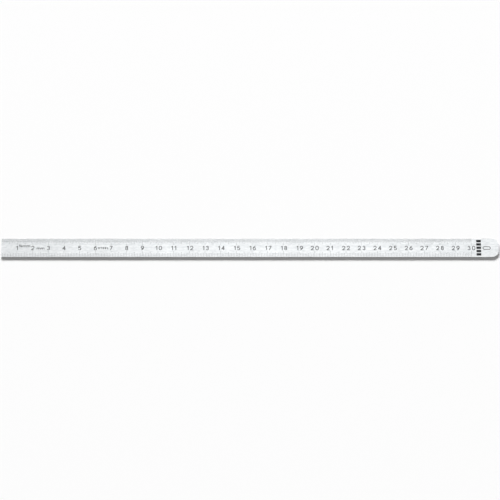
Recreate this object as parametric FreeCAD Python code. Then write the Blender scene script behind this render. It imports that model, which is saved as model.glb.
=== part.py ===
import FreeCAD, Part
import math
import os

# A flexible steel rule for model making: one strip of stainless spring steel, square at the zero end
# and round-cornered at the other. The half-millimetre scale runs along the +Y edge, the millimetre scale
# along the -Y edge, and the centimetre numbers stand in a row between them. Every mark is a shallow
# etched recess in the steel, and each recess is filled with black enamel, which is a solid of its own.
#
# Frame, in millimetres: X is the reading, so X = 0 is the zero end. Y = 0 is the middle of the width.
# Z = 0 is the plain back, and the marked face looks to +Z.

PARTS_FOLDER = "parts"

# ---- Blade -------------------------------------------------------------------------------------------
graduated_length = 300.0
tail_length = 17.5          # plain steel beyond the last line
blade_width = 13.0
blade_thickness = 0.5
end_corner_radius = 4.5     # the two corners of the tail, in plan
edge_radius = 0.1           # dressed long edges and tail, on both faces; the zero end stays sharp

# ---- Etching and enamel ------------------------------------------------------------------------------
etch_depth = 0.05
enamel_sink = 0.01          # the enamel's surface lies this far below the steel face
cutter_overrun = 1.0        # how far the etching cutters stand above the steel face

# ---- Graduation lines --------------------------------------------------------------------------------
line_width = 0.1
line_step = 0.8             # each class of line ends this far short of the next longer class
line_edge_gap = 0.02        # from a line's outer end to the dressed edge
number_gap = 0.5            # from a number to the end of its centimetre line

# ---- Numbers -----------------------------------------------------------------------------------------
number_height = 3.0
number_stroke = 0.42
number_row_y = -0.2         # middle of the row of numbers
digit_split = 1.0           # clear space between two digits, where their centimetre line points

# ---- Labels ------------------------------------------------------------------------------------------
label_height = 1.8          # of a capital letter
label_stroke = 0.34
label_spacing = 0.25        # clear space between two letters
label_clearance = 0.6       # from the half-millimetre label to the number on each side of it
half_mm_label_lift = 2.1    # from the feet of the numbers to the feet of the half-millimetre label
mm_label_lift = 0.45        # the same for the millimetre label

# ---- The word ----------------------------------------------------------------------------------------
word_height = 1.35
word_stroke = 0.32
word_spacing = 0.5          # clear space between two letters
word_lift = 0.75            # from the feet of the numbers to the feet of the word

# ---- Plain marks on the tail -------------------------------------------------------------------------
block_count = 5
block_length = 3.0          # along X
block_gap = 0.6
block_margin = 0.95         # from the column of blocks to each long edge
block_clearance = 0.7       # from the last number to the column
oval_length = 5.1
oval_width = 2.3
oval_stroke = 0.42
oval_clearance = 1.0        # from the column of blocks to the oval

# ---- Worked-out places -------------------------------------------------------------------------------
HALF_MM = 0.5
MM = 1.0
CM = 10.0
COUNT_SLACK = 1e-6          # keeps a whole count whole when it is worked out with fractions
blade_length = graduated_length + tail_length
half_width = blade_width / 2
etch_floor = blade_thickness - etch_depth
enamel_depth = etch_depth - enamel_sink
number_top = number_row_y + number_height / 2
number_foot = number_row_y - number_height / 2
number_count = int(graduated_length / CM + COUNT_SLACK)

# Each class of line with the reading from one to the next, the longest lines first.
LINE_CLASSES = {"cm": CM, "five_mm": 5 * MM, "mm": MM, "half_mm": HALF_MM}

# The drawn width of a character as a share of its drawn height, both between stroke centres.
PROPORTION = {
    "0": 0.62, "1": 0.26, "2": 0.60, "3": 0.58, "4": 0.64, "5": 0.58, "6": 0.60, "7": 0.58, "8": 0.58,
    "9": 0.60, "½": 1.20, "m": 2.00, "S": 0.58, "T": 0.62, "E": 0.52, "L": 0.50,
}
SMALL_LETTER = 0.72         # height of a small letter as a share of a capital
SMALL_DIGIT = 0.62          # height of a fraction's digit as a share of a capital


def vector(x, y, z=0.0):
    return FreeCAD.Vector(x, y, z)


# ---- Strokes -----------------------------------------------------------------------------------------
# A stroke is two points where it is straight and three where it is round. A circle's first and last
# points are the same, and its middle point is opposite them.
def around(cx, cy, radius, start, end):
    """A round stroke about a centre, from one angle to another, in degrees."""
    angles = [math.radians(a) for a in (start, (start + end) / 2, end)]
    return [(cx + radius * math.cos(a), cy + radius * math.sin(a)) for a in angles]


def moved(some_strokes, dx, dy):
    return [[(x + dx, y + dy) for x, y in stroke] for stroke in some_strokes]


def strokes(char, w, h):
    """The strokes of a character whose stroke centres fill a box w wide and h high."""
    r = w / 2
    top = 0.24 * h           # radii of the upper and lower bowls of a 3, an 8 and an S
    low = 0.26 * h
    if char == "0":
        return [
            around(r, h - r, r, 0, 180),
            [(0, h - r), (0, r)],
            around(r, r, r, 180, 360),
            [(w, r), (w, h - r)],
        ]
    if char == "1":
        return [[(w, 0), (w, h)], [(w, h), (0, h - 0.85 * w)]]
    if char == "2":
        shoulder = around(r, h - r, r, 170, -38)
        return [shoulder, [shoulder[-1], (0, 0)], [(0, 0), (w, 0)]]
    if char == "3":
        return [around(r, h - top, top, 160, -90), around(r, low, low, 90, -160)]
    if char == "4":
        stem, bar = 0.74 * w, 0.27 * h
        return [[(stem, 0), (stem, h)], [(stem, h), (0, bar)], [(0, bar), (w, bar)]]
    if char == "5":
        bowl = 0.31 * h
        belly = around(w - bowl, bowl, bowl, 142, -140)
        return [[(0.92 * w, h), (0.12 * w, h)], [(0.12 * w, h), belly[0]], belly]
    if char == "6":
        return [around(r, r, r, 0, 360), [(0, r), (0.24 * w, 0.74 * h), (0.84 * w, h)]]
    if char == "7":
        return [[(0, h), (w, h)], [(w, h), (0.28 * w, 0)]]
    if char == "8":
        return [around(r, h - top, top, 0, 360), around(r, low, low, 0, 360)]
    if char == "9":
        return [[(w - x, h - y) for x, y in stroke] for stroke in strokes("6", w, h)]
    if char == "½":
        small = SMALL_DIGIT * h
        one_width, two_width = PROPORTION["1"] * small, PROPORTION["2"] * small
        one = moved(strokes("1", one_width, small), 0, h - small)
        two = moved(strokes("2", two_width, small), w - two_width, 0)
        return one + [[(0.26 * w, 0), (0.60 * w, h)]] + two
    if char == "m":
        bow = w / 4
        return [
            [(0, 0), (0, h)],
            around(bow, h - bow, bow, 180, 0),
            [(2 * bow, h - bow), (2 * bow, 0)],
            around(3 * bow, h - bow, bow, 180, 0),
            [(w, h - bow), (w, 0)],
        ]
    if char == "S":
        return [around(r, h - top, top, 20, 270), around(r, low, low, 90, -160)]
    if char == "T":
        return [[(0, h), (w, h)], [(r, h), (r, 0)]]
    if char == "E":
        return [[(0, 0), (0, h)], [(0, h), (w, h)], [(0, h / 2), (0.88 * w, h / 2)], [(0, 0), (w, 0)]]
    if char == "L":
        return [[(0, 0), (0, h)], [(0, 0), (w, 0)]]
    raise ValueError(f"no strokes are drawn for {char!r}")


def disc(centre, radius):
    return Part.Face(Part.Wire(Part.makeCircle(radius, centre)))


def pen_face(stroke, width):
    """The flat face that a round pen of this width leaves along a stroke."""
    half = width / 2
    points = [vector(x, y) for x, y in stroke]
    first, last = points[0], points[-1]
    if len(points) == 2:
        along = (last - first).normalize()
        side_first = side_last = vector(-along.y, along.x)
        left = Part.LineSegment(first + side_first * half, last + side_last * half)
        right = Part.LineSegment(last - side_last * half, first - side_first * half)
    elif (last - first).Length < 1e-6:
        middle = (first + points[1]) * 0.5
        radius = (first - middle).Length
        return disc(middle, radius + half).cut(disc(middle, radius - half))
    else:
        middle = points[1]
        centre = Part.Arc(first, middle, last).toShape().Curve.Center
        turn = 1 if (middle - first).cross(last - middle).z > 0 else -1
        side_first, side_middle, side_last = ((centre - p).normalize() * turn for p in points)
        left = Part.Arc(first + side_first * half, middle + side_middle * half, last + side_last * half)
        right = Part.Arc(last - side_last * half, middle - side_middle * half, first - side_first * half)
    ahead = vector(side_last.y, -side_last.x)
    behind = vector(-side_first.y, side_first.x)
    last_cap = Part.Arc(last + side_last * half, last + ahead * half, last - side_last * half)
    first_cap = Part.Arc(first - side_first * half, first + behind * half, first + side_first * half)
    return Part.Face(Part.Wire([edge.toShape() for edge in (left, last_cap, right, first_cap)]))


def joined(faces):
    """The flat faces that cover several others, with one face wherever those overlap."""
    slabs = [face.extrude(vector(0, 0, MM)) for face in faces]
    whole = slabs[0].multiFuse(slabs[1:]).removeSplitter() if len(slabs) > 1 else slabs[0]
    return [face for face in whole.Faces if face.BoundBox.ZMax < HALF_MM]


# ---- Lettering ---------------------------------------------------------------------------------------
class Lettering:
    """Characters of one height, drawn with one pen, with one clear space between them."""

    def __init__(self, height, stroke, spacing):
        self.height = height
        self.stroke = stroke
        self.spacing = spacing
        self.stretch = 1.0      # widens or narrows every character
        self.drawn = {}         # each character is drawn once, and copied after that

    def tall(self, char):
        """A character's height between stroke centres."""
        return (self.height * SMALL_LETTER if char.islower() else self.height) - self.stroke

    def wide(self, char):
        """A character's width between stroke centres."""
        return self.stretch * PROPORTION[char] * self.tall(char)

    def fixed_length(self, text):
        """The part of a text's length that doesn't stretch: its pen and its clear spaces."""
        return self.stroke * len(text) + self.spacing * (len(text) - 1)

    def length(self, text):
        """The outer length of a text."""
        return sum(self.wide(char) for char in text) + self.fixed_length(text)

    def fit(self, text, length):
        """Stretches the lettering so that a text in it has this length."""
        fixed = self.fixed_length(text)
        self.stretch = (length - fixed) / (self.length(text) - fixed)

    def faces(self, text, x, foot):
        """The faces of a text whose left side is at x and whose foot is at foot."""
        found = []
        for char in text:
            if char not in self.drawn:
                some_strokes = strokes(char, self.wide(char), self.tall(char))
                self.drawn[char] = joined([pen_face(stroke, self.stroke) for stroke in some_strokes])
            place = vector(x + self.stroke / 2, foot + self.stroke / 2)
            found += [face.translated(place) for face in self.drawn[char]]
            x += self.wide(char) + self.stroke + self.spacing
        return found


numbers = Lettering(number_height, number_stroke, digit_split)
labels = Lettering(label_height, label_stroke, label_spacing)
words = Lettering(word_height, word_stroke, word_spacing)


def number_left(number):
    """The left side of a number: one digit is centred on its centimetre line, and two stand astride it."""
    text = str(number)
    before_line = numbers.length(text) / 2
    if len(text) > 1:
        before_line = numbers.length(text[0]) + digit_split / 2
    return number * CM - before_line


def number_right(number):
    return number_left(number) + numbers.length(str(number))


def number_faces(number):
    return numbers.faces(str(number), number_left(number), number_foot)


def label_faces(lettering, text, after_number, lift):
    """A label in the middle of the space that follows a number, lifted from the numbers' feet."""
    middle = (number_right(after_number) + number_left(after_number + 1)) / 2
    return lettering.faces(text, middle - lettering.length(text) / 2, number_foot + lift)


# ---- Graduation lines --------------------------------------------------------------------------------
def rectangle(x0, x1, y0, y1):
    corners = [vector(x0, y0), vector(x1, y0), vector(x1, y1), vector(x0, y1), vector(x0, y0)]
    return Part.Face(Part.makePolygon(corners))


def scale_lines(side, division):
    """The lines of the edge at side +1 or -1, as faces by class. The centimetre lines end beside the
    numbers, each shorter class steps back from there, and every line stops just inside the dressed edge."""
    longest_end = number_top + number_gap if side > 0 else number_foot - number_gap
    outer_end = side * (half_width - edge_radius - line_edge_gap)
    lines = {}
    every = round(division / HALF_MM)
    for halves in range(every, int(graduated_length / HALF_MM + COUNT_SLACK) + 1, every):
        name = next(name for name, pitch in LINE_CLASSES.items() if halves % round(pitch / HALF_MM) == 0)
        inner_end = longest_end + side * line_step * list(LINE_CLASSES).index(name)
        x = halves * HALF_MM
        y0, y1 = sorted((inner_end, outer_end))
        lines.setdefault(name, []).append(rectangle(x - line_width / 2, x + line_width / 2, y0, y1))
    return lines


# ---- Plain marks on the tail -------------------------------------------------------------------------
def block_faces():
    """A column of equal plain blocks across the width, beyond the last number."""
    x = number_right(number_count) + block_clearance
    column = blade_width - 2 * block_margin
    height = (column - block_gap * (block_count - 1)) / block_count
    feet = [-column / 2 + i * (height + block_gap) for i in range(block_count)]
    return [rectangle(x, x + block_length, foot, foot + height) for foot in feet]


def oval_face():
    """A plain oval ring beside the blocks, on the line of the numbers."""
    x = number_right(number_count) + block_clearance + block_length + oval_clearance
    axis = [(x + oval_width / 2, number_row_y), (x + oval_length - oval_width / 2, number_row_y)]
    return pen_face(axis, oval_width).cut(pen_face(axis, oval_width - 2 * oval_stroke))


# ---- Blade -------------------------------------------------------------------------------------------
def blank_blade():
    """The strip before etching, with its long edges and tail dressed round."""
    r = end_corner_radius
    bulge = r * (1 - math.sqrt(0.5))
    x1, y1 = blade_length, half_width
    outline = [
        Part.LineSegment(vector(0, -y1), vector(x1 - r, -y1)),
        Part.Arc(vector(x1 - r, -y1), vector(x1 - bulge, -y1 + bulge), vector(x1, -y1 + r)),
        Part.LineSegment(vector(x1, -y1 + r), vector(x1, y1 - r)),
        Part.Arc(vector(x1, y1 - r), vector(x1 - bulge, y1 - bulge), vector(x1 - r, y1)),
        Part.LineSegment(vector(x1 - r, y1), vector(0, y1)),
        Part.LineSegment(vector(0, y1), vector(0, -y1)),
    ]
    face = Part.Face(Part.Wire([edge.toShape() for edge in outline]))
    strip = face.extrude(vector(0, 0, blade_thickness))
    dressed = [edge for edge in strip.Edges if edge.BoundBox.ZLength < 1e-6 and edge.BoundBox.XMax > 1e-3]
    return strip.makeFillet(edge_radius, dressed)


def prisms(faces, height):
    """Upright solids that stand on the etched floor: the cutters of some marks, or their enamel."""
    return [face.translated(vector(0, 0, etch_floor)).extrude(vector(0, 0, height)) for face in faces]


def write(name, shape):
    shape.exportStep(os.path.join(PARTS_FOLDER, name + ".step"))


def main():
    os.makedirs(PARTS_FOLDER, exist_ok=True)
    space = number_left(2) - number_right(1)
    labels.fit("½mm", space - 2 * label_clearance)

    marks = {}              # the faces of each enamel node
    for edge_name, side, division in (("upper", 1, HALF_MM), ("lower", -1, MM)):
        for class_name, faces in scale_lines(side, division).items():
            marks[f"{edge_name}_{class_name}_lines"] = faces
    for number in range(1, number_count + 1):
        marks[f"number_{number:02d}"] = number_faces(number)
    marks["half_mm_label"] = label_faces(labels, "½mm", 1, half_mm_label_lift)
    marks["mm_label"] = label_faces(labels, "mm", 2, mm_label_lift)
    marks["steel_label"] = label_faces(words, "STEEL", 6, word_lift)
    marks["tail_blocks"] = block_faces()
    marks["tail_oval"] = [oval_face()]

    cutters = [prism for faces in marks.values() for prism in prisms(faces, etch_depth + cutter_overrun)]
    write("blade", blank_blade().cut(Part.Compound(cutters)))
    for name, faces in marks.items():
        write(name, Part.Compound(prisms(faces, enamel_depth)))


main()
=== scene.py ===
import math

import bmesh
import bpy
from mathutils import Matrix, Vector


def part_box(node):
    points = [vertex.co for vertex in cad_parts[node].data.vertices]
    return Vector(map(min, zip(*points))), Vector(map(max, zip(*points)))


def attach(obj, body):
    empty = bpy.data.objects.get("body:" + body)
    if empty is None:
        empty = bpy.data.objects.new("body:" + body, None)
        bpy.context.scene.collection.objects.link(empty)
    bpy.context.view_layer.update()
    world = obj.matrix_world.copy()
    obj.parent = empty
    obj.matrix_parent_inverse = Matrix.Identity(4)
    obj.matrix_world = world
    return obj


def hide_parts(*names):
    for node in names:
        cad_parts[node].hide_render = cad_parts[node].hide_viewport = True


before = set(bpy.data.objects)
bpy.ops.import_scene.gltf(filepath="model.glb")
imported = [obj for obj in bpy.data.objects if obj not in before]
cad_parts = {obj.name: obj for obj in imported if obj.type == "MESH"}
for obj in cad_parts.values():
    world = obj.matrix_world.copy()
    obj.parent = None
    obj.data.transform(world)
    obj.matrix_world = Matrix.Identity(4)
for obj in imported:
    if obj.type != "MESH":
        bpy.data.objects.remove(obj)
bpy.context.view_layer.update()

# ------------------------------------------------------------------------------------------------------
# The blank: one strip of stainless spring steel, rolled to gauge and sheared to width. It is cut square
# at the zero end, which stays sharp. The tail is rounded, and the tail and the long edges are dressed.
# ------------------------------------------------------------------------------------------------------
MM = 0.001
CORNER_RADIUS = 4.5 * MM    # the two corners of the tail, in plan
EDGE_RADIUS = 0.1 * MM      # the dressed edges, on both faces
CORNER_STEPS = 24
EDGE_STEPS = 12
blade_low, blade_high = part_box("blade")


def link_piece(name, mesh):
    piece = bpy.data.objects.new(name, mesh)
    bpy.context.scene.collection.objects.link(piece)
    return piece


def blank_outline(inset):
    """The strip in plan, drawn in from its edges and its tail, but never from the zero end."""
    radius = CORNER_RADIUS - inset
    centre_x = blade_high.x - CORNER_RADIUS
    centre_y = blade_high.y - CORNER_RADIUS
    points = [(blade_low.x, inset - blade_high.y)]
    for start, y in ((-90.0, -centre_y), (0.0, centre_y)):
        for step in range(CORNER_STEPS + 1):
            angle = math.radians(start + 90.0 * step / CORNER_STEPS)
            points.append((centre_x + radius * math.cos(angle), y + radius * math.sin(angle)))
    points.append((blade_low.x, blade_high.y - inset))
    return points


def blank_levels():
    """The inset and the height of each ring of the strip, from the back up to the marked face."""
    for step in range(EDGE_STEPS + 1):
        turn = math.radians(90.0 * step / EDGE_STEPS)
        yield EDGE_RADIUS * (1 - math.sin(turn)), blade_low.z + EDGE_RADIUS * (1 - math.cos(turn))
    for step in range(EDGE_STEPS + 1):
        turn = math.radians(90.0 * step / EDGE_STEPS)
        yield EDGE_RADIUS * (1 - math.cos(turn)), blade_high.z - EDGE_RADIUS * (1 - math.sin(turn))


def blank_strip():
    strip = bmesh.new()
    rings = []
    for inset, z in blank_levels():
        rings.append([strip.verts.new((x, y, z)) for x, y in blank_outline(inset)])
    for lower, upper in zip(rings, rings[1:]):
        for i in range(len(lower) - 1):
            strip.faces.new((lower[i], lower[i + 1], upper[i + 1], upper[i]))
    strip.faces.new(reversed(rings[0]))
    strip.faces.new(rings[-1])
    strip.faces.new([ring[0] for ring in rings] + [ring[-1] for ring in reversed(rings)])
    bmesh.ops.recalc_face_normals(strip, faces=strip.faces)
    mesh = bpy.data.meshes.new("blade")
    strip.to_mesh(mesh)
    strip.free()
    return mesh


strip = link_piece("etched_blade", blank_strip())

# ------------------------------------------------------------------------------------------------------
# The marks are black enamel, wiped into recesses that acid has etched into the steel, and baked. It
# shrinks as it dries, so it lies a little below the steel: mottled, pitted, and worn grey in places.
# ------------------------------------------------------------------------------------------------------
FRESH_ENAMEL = ((0.003, 0.003, 0.004), (0.022, 0.023, 0.026))   # the two ends of its mottle
WORN_ENAMEL = ((0.015, 0.015, 0.017), (0.090, 0.092, 0.096))
MOTTLE_SPREAD = (0.30, 0.75)
WEAR_SPREAD = (0.52, 0.72)
FRESH_ROUGHNESS = 0.38
WORN_ROUGHNESS = 0.62
PIT_DEPTH = 0.008 * MM


def new_material(name):
    """A material, its Principled shader, and functions that add its nodes and join them."""
    material = bpy.data.materials.new(name)
    material.use_nodes = True
    tree = material.node_tree

    def add(kind, operation=None):
        node = tree.nodes.new("ShaderNode" + kind)
        if operation:
            node.operation = operation
        return node

    return material, tree.nodes["Principled BSDF"], add, tree.links.new


def noise(add, link, cells, detail, turned=0.0):
    """Noise on the piece's own coordinates, turned by so many degrees about Z, with so many cells to the
    metre along X, Y and Z."""
    place, mapping, texture = add("TexCoord"), add("Mapping"), add("TexNoise")
    mapping.vector_type = "TEXTURE"     # turns first and scales after that, so a long cell turns too
    mapping.inputs["Scale"].default_value = [1.0 / count for count in cells]
    mapping.inputs["Rotation"].default_value = (0.0, 0.0, math.radians(turned))
    texture.inputs["Scale"].default_value = 1.0
    texture.inputs["Detail"].default_value = detail
    link(place.outputs["Object"], mapping.inputs["Vector"])
    link(mapping.outputs["Vector"], texture.inputs["Vector"])
    return texture.outputs["Fac"]


def remap(add, link, value, low, high, start=0.0, end=1.0):
    """A value between start and end, mapped on to the range from low to high."""
    node = add("MapRange")
    node.inputs["From Min"].default_value = start
    node.inputs["From Max"].default_value = end
    node.inputs["To Min"].default_value = low
    node.inputs["To Max"].default_value = high
    link(value, node.inputs["Value"])
    return node.outputs["Result"]


def two_tone(add, link, value, colours, spread):
    """A value turned into a colour: the first one below the spread, and the second above it."""
    node = add("ValToRGB")
    for element, position, colour in zip(node.color_ramp.elements, spread, colours):
        element.position = position
        element.color = (*colour, 1.0)
    link(value, node.inputs["Fac"])
    return node.outputs["Color"]


def mixed(add, link, kind, share, value_a, value_b):
    """Two colours or two numbers mixed, with a share from 0 for the first to 1 for the second."""
    node = add("Mix")
    node.data_type = kind
    sockets = [socket for socket in node.inputs if socket.enabled]
    for socket, value in zip(sockets, (share, value_a, value_b)):
        if isinstance(value, bpy.types.NodeSocket):
            link(value, socket)
        else:
            socket.default_value = value
    return next(socket for socket in node.outputs if socket.enabled)


def bumped(add, link, height, strength, distance):
    node = add("Bump")
    node.inputs["Strength"].default_value = strength
    node.inputs["Distance"].default_value = distance
    link(height, node.inputs["Height"])
    return node.outputs["Normal"]


def baked_enamel():
    material, shader, add, link = new_material("black_enamel")
    mottle = noise(add, link, (3000.0, 3000.0, 3000.0), 3.0)
    fresh = two_tone(add, link, mottle, FRESH_ENAMEL, MOTTLE_SPREAD)
    worn = two_tone(add, link, mottle, WORN_ENAMEL, MOTTLE_SPREAD)
    wear = remap(add, link, noise(add, link, (60.0, 220.0, 220.0), 3.0), 0.0, 1.0, *WEAR_SPREAD)
    link(mixed(add, link, "RGBA", wear, fresh, worn), shader.inputs["Base Color"])
    link(mixed(add, link, "FLOAT", wear, FRESH_ROUGHNESS, WORN_ROUGHNESS), shader.inputs["Roughness"])
    link(bumped(add, link, mottle, 0.4, PIT_DEPTH), shader.inputs["Normal"])
    shader.inputs["Specular IOR Level"].default_value = 0.3
    return material


enamel = baked_enamel()

# ------------------------------------------------------------------------------------------------------
# The graduation lines stand in classes, and one rule places each class: a first line, a pitch, and the
# lines left out where a longer class takes over. The same rule drives the etching and the filling.
# ------------------------------------------------------------------------------------------------------
LINE_ACROSS = 5             # points across a line's dished top
LINE_ALONG = 2
FILL_DIP = 0.006 * MM       # how far the middle of a line's enamel sinks below its rims
CUTTER_TOP = 0.1 * MM       # how far the etching reaches above the steel face
EVERY_FIFTH = 5
NONE_LEFT_OUT = 10000

# node: first reading and pitch in millimetres, and which lines in a row of them are left out
LINE_CLASSES = {
    "half_mm": (0.5, 1.0, NONE_LEFT_OUT),
    "mm": (1.0, 1.0, EVERY_FIFTH),
    "five_mm": (5.0, 10.0, NONE_LEFT_OUT),
    "cm": (10.0, 10.0, NONE_LEFT_OUT),
}


def line_tree():
    """Upright lines in a row along X, as a Geometry Nodes tree with its sizes as inputs."""
    tree = bpy.data.node_groups.new("graduation_lines", "GeometryNodeTree")
    sizes = ("First", "Pitch", "Width", "Low Y", "High Y", "Bottom", "Rim", "Dip")
    for name in sizes:
        tree.interface.new_socket(name, in_out="INPUT", socket_type="NodeSocketFloat")
    for name in ("Count", "Left Out"):
        tree.interface.new_socket(name, in_out="INPUT", socket_type="NodeSocketInt")
    tree.interface.new_socket("Material", in_out="INPUT", socket_type="NodeSocketMaterial")
    tree.interface.new_socket("Lines", in_out="OUTPUT", socket_type="NodeSocketGeometry")
    given = tree.nodes.new("NodeGroupInput").outputs
    result = tree.nodes.new("NodeGroupOutput")
    link = tree.links.new

    def add(kind, *inputs, **settings):
        """A node with these values or sockets on its first inputs."""
        node = tree.nodes.new(kind)
        for key, value in settings.items():
            setattr(node, key, value)
        for socket, value in zip(node.inputs, inputs):
            if isinstance(value, bpy.types.NodeSocket):
                link(value, socket)
            elif value is not None:
                socket.default_value = value
        return node

    def calc(operation, *values):
        return add("ShaderNodeMath", *values, operation=operation).outputs[0]

    def whole_number(operation, *values):
        return add("FunctionNodeIntegerMath", *values, operation=operation).outputs[0]

    def vector(x, y, z):
        return add("ShaderNodeCombineXYZ", x, y, z).outputs[0]

    row = add(
        "GeometryNodeMeshLine",
        given["Count"],
        None,
        vector(given["First"], 0.0, 0.0),
        vector(given["Pitch"], 0.0, 0.0),
    )
    place_in_row = whole_number("ADD", add("GeometryNodeInputIndex").outputs[0], 1)
    left_over = whole_number("MODULO", place_in_row, given["Left Out"])
    longer = add("FunctionNodeCompare", data_type="INT", operation="EQUAL")
    link(left_over, longer.inputs[2])
    kept = add("GeometryNodeDeleteGeometry", row.outputs[0], longer.outputs[0])

    block = add("GeometryNodeMeshCube", (1.0, 1.0, 1.0), LINE_ACROSS, LINE_ALONG, 2)
    at = add("ShaderNodeSeparateXYZ", add("GeometryNodeInputPosition").outputs[0]).outputs
    across = calc("MULTIPLY", at["X"], 2.0)
    sag = calc("SUBTRACT", 1.0, calc("MULTIPLY", across, across))
    top = calc("SUBTRACT", given["Rim"], calc("MULTIPLY", given["Dip"], sag))
    is_top = calc("GREATER_THAN", at["Z"], 0.0)
    rise = calc("MULTIPLY", calc("SUBTRACT", top, given["Bottom"]), is_top)
    along = calc("MULTIPLY", calc("ADD", at["Y"], 0.5), calc("SUBTRACT", given["High Y"], given["Low Y"]))
    shaped = vector(
        calc("MULTIPLY", at["X"], given["Width"]),
        calc("ADD", given["Low Y"], along),
        calc("ADD", given["Bottom"], rise),
    )
    line = add("GeometryNodeSetPosition", block.outputs[0], None, shaped)
    lines = add("GeometryNodeInstanceOnPoints", kept.outputs[0], None, line.outputs[0])
    whole = add("GeometryNodeRealizeInstances", lines.outputs[0])
    painted = add("GeometryNodeSetMaterial", whole.outputs[0], None, given["Material"])
    link(painted.outputs[0], result.inputs[0])
    return tree


lines_tree = line_tree()


def baked(piece):
    """The piece with what its modifiers make as its own plain mesh."""
    bpy.context.view_layer.update()
    evaluated = piece.evaluated_get(bpy.context.evaluated_depsgraph_get())
    mesh = bpy.data.meshes.new_from_object(evaluated)
    piece.modifiers.clear()
    piece.data = mesh
    return piece


def row_of_lines(name, node, rim, dip):
    """The lines of a class with the places and lengths of its CAD node, up to this rim."""
    low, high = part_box(node)
    first, pitch, left_out = LINE_CLASSES[node.split("_", 1)[1].removesuffix("_lines")]
    width = 2 * (first * MM - low.x)
    count = round((high.x - low.x - width) / (pitch * MM)) + 1
    piece = link_piece(name, bpy.data.meshes.new(name))
    modifier = piece.modifiers.new("lines", "NODES")
    modifier.node_group = lines_tree
    values = {
        "First": first * MM, "Pitch": pitch * MM, "Width": width, "Low Y": low.y, "High Y": high.y,
        "Bottom": low.z, "Rim": rim, "Dip": dip, "Count": count, "Left Out": left_out, "Material": enamel,
    }
    for item in lines_tree.interface.items_tree:
        if item.name in values:
            modifier[item.identifier] = values[item.name]
    return baked(piece)


cutters = []
for node in sorted(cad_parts):
    if node.endswith("_lines"):
        filling_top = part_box(node)[1].z
        filling = row_of_lines(node.removesuffix("_lines") + "_enamel", node, filling_top, FILL_DIP)
        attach(filling, "root")
        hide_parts(node)
        cutters.append(row_of_lines("etching_" + node, node, blade_high.z + CUTTER_TOP, 0.0))

# ------------------------------------------------------------------------------------------------------
# The numbers, the labels and the plain marks on the tail are filled with the same enamel. Their shapes
# are the frame's own, and each one gives the etching its outline.
# ------------------------------------------------------------------------------------------------------


def etching_from(node):
    """A cutter with the outline of a mark, from the floor of its recess to above the steel face."""
    shape = bmesh.new()
    shape.from_mesh(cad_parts[node].data)
    bmesh.ops.remove_doubles(shape, verts=shape.verts, dist=0.0001 * MM)
    low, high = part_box(node)
    for vertex in shape.verts:
        if vertex.co.z > (low.z + high.z) / 2:
            vertex.co.z = blade_high.z + CUTTER_TOP
    mesh = bpy.data.meshes.new("etching_" + node)
    shape.to_mesh(mesh)
    shape.free()
    return link_piece("etching_" + node, mesh)


for name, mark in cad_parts.items():
    if name != "blade" and not name.endswith("_lines"):
        cutters.append(etching_from(name))
        mark.data.materials.clear()
        mark.data.materials.append(enamel)

# ------------------------------------------------------------------------------------------------------
# The finished blade: the blank with every mark etched 0.05 mm deep. Its faces are linished lengthwise to
# a satin grain with a few scratches. The dressed edges are polished, with a painted highlight along them.
# ------------------------------------------------------------------------------------------------------
POLISHED_AND_HIGHLIT_BAND = 0.35 * MM   # how far the polish and its painted highlight reach in from a long edge
SATIN_STEEL = ((0.66, 0.685, 0.70), (0.88, 0.90, 0.91))
SATIN_SPREAD = (0.36, 0.64)
# the paler colour of the polished edges is a painted highlight
HIGHLIT_POLISHED_STEEL = (0.90, 0.91, 0.915, 1.0)
SCRATCHED_STEEL = (0.92, 0.925, 0.93, 1.0)
SCRATCH_SPREAD = (0.70, 0.76)
SCRATCH_TURN = 9.0          # degrees that the scratches stand off the grain
GRAIN_ROUGHNESS = (0.26, 0.40)
HANDLED_ROUGHNESS = 0.05    # how far handling makes the steel smoother or rougher
POLISHED_ROUGHNESS = 0.20
GRAIN_DEPTH = 0.004 * MM


def edge_polish_and_highlight(add, link):
    """How polished the steel is, and how much painted highlight it gets: 0 over the face, rising to 1 at
    the two long edges.
    """
    place, split, off_centre = add("TexCoord"), add("SeparateXYZ"), add("Math", "ABSOLUTE")
    link(place.outputs["Object"], split.inputs["Vector"])
    link(split.outputs["Y"], off_centre.inputs[0])
    return remap(add, link, off_centre.outputs[0], 0.0, 1.0, blade_high.y - POLISHED_AND_HIGHLIT_BAND, blade_high.y)


def satin_steel():
    material, shader, add, link = new_material("satin_stainless_steel")
    grain = noise(add, link, (25.0, 6000.0, 6000.0), 4.0)
    streaks = noise(add, link, (6.0, 900.0, 900.0), 2.0)
    rubbing = noise(add, link, (450.0, 1300.0, 1300.0), 2.0)
    handling = noise(add, link, (45.0, 160.0, 160.0), 3.0)
    scratched = noise(add, link, (60.0, 2600.0, 2600.0), 1.0, SCRATCH_TURN)
    scratches = remap(add, link, scratched, 0.0, 1.0, *SCRATCH_SPREAD)
    polish_and_highlight = edge_polish_and_highlight(add, link)

    linished = mixed(add, link, "FLOAT", 0.5, grain, streaks)
    finish = mixed(add, link, "FLOAT", 0.5, linished, rubbing)
    satin = two_tone(add, link, finish, SATIN_STEEL, SATIN_SPREAD)
    # the long edges take the paler colour: a painted highlight over the real polish
    edged = mixed(add, link, "RGBA", polish_and_highlight, satin, HIGHLIT_POLISHED_STEEL)
    link(mixed(add, link, "RGBA", scratches, edged, SCRATCHED_STEEL), shader.inputs["Base Color"])

    rough = add("Math", "ADD")
    link(remap(add, link, grain, *GRAIN_ROUGHNESS), rough.inputs[0])
    link(remap(add, link, handling, -HANDLED_ROUGHNESS, HANDLED_ROUGHNESS), rough.inputs[1])
    roughness = mixed(add, link, "FLOAT", polish_and_highlight, rough.outputs[0], POLISHED_ROUGHNESS)
    link(roughness, shader.inputs["Roughness"])

    height = add("Math", "SUBTRACT")
    link(grain, height.inputs[0])
    link(scratches, height.inputs[1])
    link(bumped(add, link, height.outputs[0], 0.35, GRAIN_DEPTH), shader.inputs["Normal"])
    shader.inputs["Metallic"].default_value = 1.0
    return material


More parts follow.
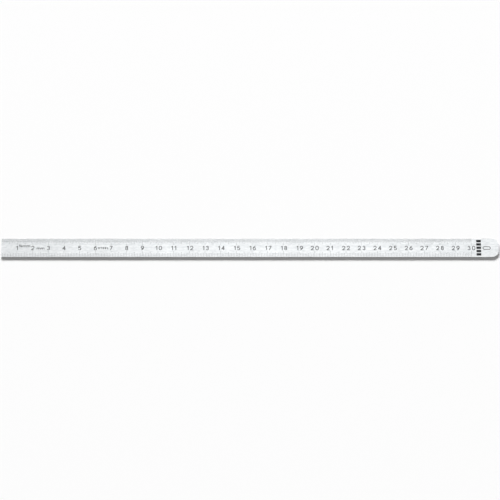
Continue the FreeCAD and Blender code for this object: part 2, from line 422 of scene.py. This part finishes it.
steel = satin_steel()
all_cutters = bmesh.new()
for cutter in cutters:
    all_cutters.from_mesh(cutter.data)
    bpy.data.objects.remove(cutter)
etching_mesh = bpy.data.meshes.new("etching")
all_cutters.to_mesh(etching_mesh)
all_cutters.free()
etching = link_piece("etching", etching_mesh)

acid = strip.modifiers.new("acid", "BOOLEAN")
acid.object = etching
acid.operation = "DIFFERENCE"
acid.solver = "MANIFOLD"
baked(strip)
bpy.data.objects.remove(etching)
strip.data.materials.clear()
strip.data.materials.append(steel)
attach(strip, "root")
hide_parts("blade")

# ------------------------------------------------------------------------------------------------------
# The ruler lies on a plain white table with a dull painted top, and its back touches it all along. The
# table reaches far enough to stand behind the ruler from every side.
# ------------------------------------------------------------------------------------------------------
TABLE_HALF = 6.0
TABLE_CORNERS = ((-1, -1), (1, -1), (1, 1), (-1, 1))
table_mesh = bpy.data.meshes.new("table")
corners = [(x * TABLE_HALF, y * TABLE_HALF, blade_low.z) for x, y in TABLE_CORNERS]
table_mesh.from_pydata(corners, [], [(0, 1, 2, 3)])
table = link_piece("table", table_mesh)
table_paint, table_shader, _, _ = new_material("white_table")
table_shader.inputs["Base Color"].default_value = (0.9, 0.9, 0.9, 1.0)
table_shader.inputs["Roughness"].default_value = 0.9
table_shader.inputs["Specular IOR Level"].default_value = 0.1
table_mesh.materials.append(table_paint)

# ------------------------------------------------------------------------------------------------------
# Light. A fan of low lamps behind the ruler rakes over it and throws a short soft shadow to the front. A
# soft panel stands where the face mirrors it to the camera, in a room with pale walls.
# ------------------------------------------------------------------------------------------------------
CAMERA_ELEVATION = math.radians(64.5)
RAKING_ELEVATION = math.radians(10.9)
LAMP_AZIMUTHS = (-4.0, 5.0, 14.0, 23.0, 32.0)
LAMP_ENERGY = 2.8
LAMP_WIDTH = math.radians(6.0)
LAMP_DISTANCE = 3.0
PANEL_SIZE = (0.92, 1.2)
PANEL_DISTANCE = 2.0
PANEL_ENERGY = 3.5
PANEL_OFFSET = Vector((0.05, 0.0, 0.0))
ROOM_FILL = (0.18, 0.18, 0.18)
ROOM_WALLS = (0.49, 0.49, 0.49)
ROOM_BACKDROP = (0.95, 0.95, 0.95)
BEHIND = math.radians(180.0)
middle = Vector(((blade_low.x + blade_high.x) / 2, 0.0, blade_high.z))


def aim(obj, target):
    obj.rotation_euler = (target - obj.location).to_track_quat("-Z", "Y").to_euler()


def direction(azimuth, elevation):
    """The unit vector towards a place round the ruler: azimuth 0 is in front, on the -Y side."""
    flat = math.cos(elevation)
    return Vector((math.sin(azimuth) * flat, -math.cos(azimuth) * flat, math.sin(elevation)))


for number, azimuth in enumerate(LAMP_AZIMUTHS):
    lamp_data = bpy.data.lights.new(f"raking_lamp_{number}", "SUN")
    lamp_data.energy = LAMP_ENERGY
    lamp_data.angle = LAMP_WIDTH
    lamp = link_piece(lamp_data.name, lamp_data)
    lamp.location = middle + LAMP_DISTANCE * direction(BEHIND + math.radians(azimuth), RAKING_ELEVATION)
    lamp.visible_glossy = False
    aim(lamp, middle)

panel_data = bpy.data.lights.new("soft_panel", "AREA")
panel_data.shape = "RECTANGLE"
panel_data.size, panel_data.size_y = PANEL_SIZE
panel_data.energy = PANEL_ENERGY
panel = link_piece("soft_panel", panel_data)
panel.location = middle + PANEL_DISTANCE * direction(BEHIND, CAMERA_ELEVATION) + PANEL_OFFSET
panel.visible_camera = False
aim(panel, middle)


def white_room():
    """A plain room: dim where it lights the table, pale where the steel mirrors it, white behind it all."""
    room = bpy.data.worlds.new("white_room")
    room.use_nodes = True
    nodes, link = room.node_tree.nodes, room.node_tree.links.new
    nodes["Background"].inputs["Color"].default_value = (*ROOM_FILL, 1.0)
    shade, ray = nodes["Background"].outputs[0], nodes.new("ShaderNodeLightPath")
    for seen_by, tone in (("Is Glossy Ray", ROOM_WALLS), ("Is Camera Ray", ROOM_BACKDROP)):
        surface, mix = nodes.new("ShaderNodeBackground"), nodes.new("ShaderNodeMixShader")
        surface.inputs["Color"].default_value = (*tone, 1.0)
        link(ray.outputs[seen_by], mix.inputs[0])
        link(shade, mix.inputs[1])
        link(surface.outputs[0], mix.inputs[2])
        shade = mix.outputs[0]
    link(shade, nodes["World Output"].inputs["Surface"])
    return room


bpy.context.scene.world = white_room()

# ------------------------------------------------------------------------------------------------------
# The camera stands in front of the ruler and looks steeply down on it. Its lens is long, so the ruler's
# near and far edges look parallel, and the ruler fills the picture from side to side.
# ------------------------------------------------------------------------------------------------------
CAMERA_DISTANCE = 2.0
FRAME_WIDTH = 0.3191        # what the camera takes in from side to side, at the ruler
SENSOR_WIDTH = 36.0
camera_data = bpy.data.cameras.new("camera")
camera_data.sensor_width = SENSOR_WIDTH
camera_data.lens = SENSOR_WIDTH * CAMERA_DISTANCE / FRAME_WIDTH
camera = link_piece("camera", camera_data)
target = Vector((0.1587, -0.0016, blade_high.z))
camera.location = target + CAMERA_DISTANCE * direction(0.0, CAMERA_ELEVATION)
aim(camera, target)
bpy.context.scene.camera = camera
bpy.context.scene.view_settings.view_transform = "Standard"
